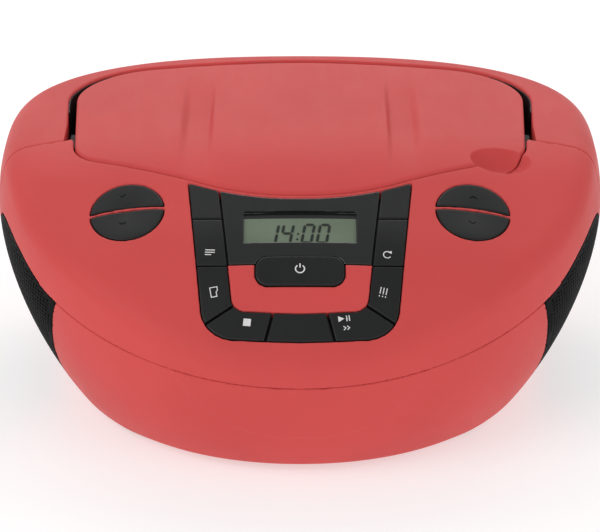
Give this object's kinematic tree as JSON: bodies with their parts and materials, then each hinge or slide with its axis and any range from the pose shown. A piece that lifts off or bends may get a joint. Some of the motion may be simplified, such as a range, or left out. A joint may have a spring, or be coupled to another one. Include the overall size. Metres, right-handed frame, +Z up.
{
  "type": "portable disc radio",
  "caption": "Oval table-top radio with a top-loading disc bay, side speakers, a front key panel with clock display, a fold-up carrying handle and a rear rod antenna.",
  "frame": {"origin": "on the table under the middle of the object's box, at the underside of the feet", "axes": "+X to the right along the width, +Y from the key panel at the front to the antenna at the rear, +Z up"},
  "size_m": [0.2496, 0.2178, 0.112],
  "materials": {
    "red_shell": "satin moulded red",
    "black_key": "satin black",
    "black_chassis": "fine matt black",
    "display_black": "polished tinted window",
    "lcd_glass": "grey-green liquid crystal cell",
    "grille_black": "black painted perforated sheet",
    "steel": "bright drawn",
    "rubber": "matt",
    "circuit_green": "lacquered circuit board",
    "copper": "enamelled winding wire",
    "paper_cone": "pressed paper pulp",
    "lens_glass": "coated lens"
  },
  "bodies": {
    "case": {"top_shell": "red_shell", "bottom_shell": "red_shell", "trim_left": "black_key", "trim_right": "black_key", "trim_middle": "black_key", "cd_deck": "black_chassis", "well_floor": "black_chassis", "mains_inlet": "black_chassis", "aux_jack": "black_chassis", "display_window": "display_black", "lcd_module": "lcd_glass", "speaker_grille_left": "grille_black", "speaker_grille_right": "grille_black", "handle_pin_left": "steel", "handle_pin_right": "steel", "lid_hinge_pin": "steel", "guide_rod_left": "steel", "guide_rod_right": "steel", "spindle_motor": "steel", "sled_motor": "steel", "speaker_basket_left": "steel", "speaker_basket_right": "steel", "battery_contact_left": "steel", "battery_contact_right": "steel", "case_screw_1": "steel", "case_screw_2": "steel", "case_screw_3": "steel", "case_screw_4": "steel", "foot_1": "rubber", "foot_2": "rubber", "foot_3": "rubber", "foot_4": "rubber", "key_board": "circuit_green", "main_board": "circuit_green", "transformer": "copper", "speaker_cone_left": "paper_cone", "speaker_cone_right": "paper_cone"},
    "lid": {"cd_lid": "red_shell"},
    "handle": {"handle": "red_shell"},
    "spindle": {"disc_spindle": "black_chassis"},
    "sled": {"laser_sled": "black_chassis", "laser_lens": "lens_glass"},
    "pinion": {"sled_gear": "black_chassis"},
    "antenna_foot": {"antenna_base": "black_key"},
    "antenna_barrel": {"antenna_tube": "steel"},
    "antenna_stage": {"antenna_middle": "steel"},
    "antenna_end": {"antenna_tip": "steel"},
    "battery_door": {"battery_door": "black_chassis"},
    "mode_key": {"mode_key": "black_key"},
    "album_key": {"album_key": "black_key"},
    "stop_key": {"stop_key": "black_key"},
    "play_key": {"play_key": "black_key"},
    "program_key": {"program_key": "black_key"},
    "repeat_key": {"repeat_key": "black_key"},
    "power_key": {"power_key": "black_key"},
    "volume_up_key": {"volume_up_key": "black_key"},
    "volume_down_key": {"volume_down_key": "black_key"},
    "skip_forward_key": {"skip_forward_key": "black_key"},
    "skip_back_key": {"skip_back_key": "black_key"}
  },
  "joints": [
    {"name": "lid_hinge", "type": "hinge", "parent": "case", "child": "lid", "pos_m": [0, 0.077, 0.106], "axis": [-1, 0, 0], "range_deg": [0, 62]},
    {"name": "handle_pivot", "type": "hinge", "parent": "case", "child": "handle", "pos_m": [0, 0.0155, 0.094], "axis": [1, 0, 0], "range_deg": [0, 90]},
    {"name": "mode_key_press", "type": "slide", "parent": "case", "child": "mode_key", "axis": [0, 0.5446, -0.8387], "range_m": [0, 0.0008], "stiffness_N_per_m": 400, "springref_m": -0.0005},
    {"name": "album_key_press", "type": "slide", "parent": "case", "child": "album_key", "axis": [0, 0.5446, -0.8387], "range_m": [0, 0.0008], "stiffness_N_per_m": 400, "springref_m": -0.0005},
    {"name": "stop_key_press", "type": "slide", "parent": "case", "child": "stop_key", "axis": [0, 0.5446, -0.8387], "range_m": [0, 0.0008], "stiffness_N_per_m": 400, "springref_m": -0.0005},
    {"name": "play_key_press", "type": "slide", "parent": "case", "child": "play_key", "axis": [0, 0.5446, -0.8387], "range_m": [0, 0.0008], "stiffness_N_per_m": 400, "springref_m": -0.0005},
    {"name": "program_key_press", "type": "slide", "parent": "case", "child": "program_key", "axis": [0, 0.5446, -0.8387], "range_m": [0, 0.0008], "stiffness_N_per_m": 400, "springref_m": -0.0005},
    {"name": "repeat_key_press", "type": "slide", "parent": "case", "child": "repeat_key", "axis": [0, 0.5446, -0.8387], "range_m": [0, 0.0008], "stiffness_N_per_m": 400, "springref_m": -0.0005},
    {"name": "power_key_press", "type": "slide", "parent": "case", "child": "power_key", "axis": [0, 0.5446, -0.8387], "range_m": [0, 0.0008], "stiffness_N_per_m": 400, "springref_m": -0.0005},
    {"name": "volume_up_key_press", "type": "slide", "parent": "case", "child": "volume_up_key", "axis": [0.122, 0.4351, -0.8921], "range_m": [0, 0.0008], "stiffness_N_per_m": 400, "springref_m": -0.0005},
    {"name": "volume_down_key_press", "type": "slide", "parent": "case", "child": "volume_down_key", "axis": [0.122, 0.4351, -0.8921], "range_m": [0, 0.0008], "stiffness_N_per_m": 400, "springref_m": -0.0005},
    {"name": "skip_forward_key_press", "type": "slide", "parent": "case", "child": "skip_forward_key", "axis": [-0.122, 0.4351, -0.8921], "range_m": [0, 0.0008], "stiffness_N_per_m": 400, "springref_m": -0.0005},
    {"name": "skip_back_key_press", "type": "slide", "parent": "case", "child": "skip_back_key", "axis": [-0.122, 0.4351, -0.8921], "range_m": [0, 0.0008], "stiffness_N_per_m": 400, "springref_m": -0.0005},
    {"name": "disc_spin", "type": "hinge", "parent": "case", "child": "spindle", "pos_m": [0, 0.019, 0.092], "axis": [0, 0, 1], "continuous": true},
    {"name": "sled_slide", "type": "slide", "parent": "case", "child": "sled", "axis": [0, -1, 0], "range_m": [0, 0.032]},
    {"name": "sled_gear_spin", "type": "hinge", "parent": "case", "child": "pinion", "pos_m": [0.033, -0.005, 0.076], "axis": [0, 0, 1], "range_deg": [0, 255]},
    {"name": "antenna_swivel", "type": "hinge", "parent": "case", "child": "antenna_foot", "pos_m": [0.075, 0.106, 0.0725], "axis": [0, 1, 0], "range_deg": [0, 180]},
    {"name": "antenna_tilt", "type": "hinge", "parent": "antenna_foot", "child": "antenna_barrel", "pos_m": [0.075, 0.106, 0.0725], "axis": [0, 0, -1], "range_deg": [0, 90]},
    {"name": "antenna_middle_slide", "type": "slide", "parent": "antenna_barrel", "child": "antenna_stage", "axis": [-1, 0, 0], "range_m": [0, 0.11]},
    {"name": "antenna_tip_slide", "type": "slide", "parent": "antenna_stage", "child": "antenna_end", "axis": [-1, 0, 0], "range_m": [0, 0.11]},
    {"name": "battery_door_hinge", "type": "hinge", "parent": "case", "child": "battery_door", "pos_m": [0, 0.0164, 0.0021], "axis": [-1, 0, 0], "range_deg": [0, 100]}
  ],
  "couplings": [
    {"joint": "sled_gear_spin", "follows": "sled_slide", "rad_per_m": 138.89}
  ]
}
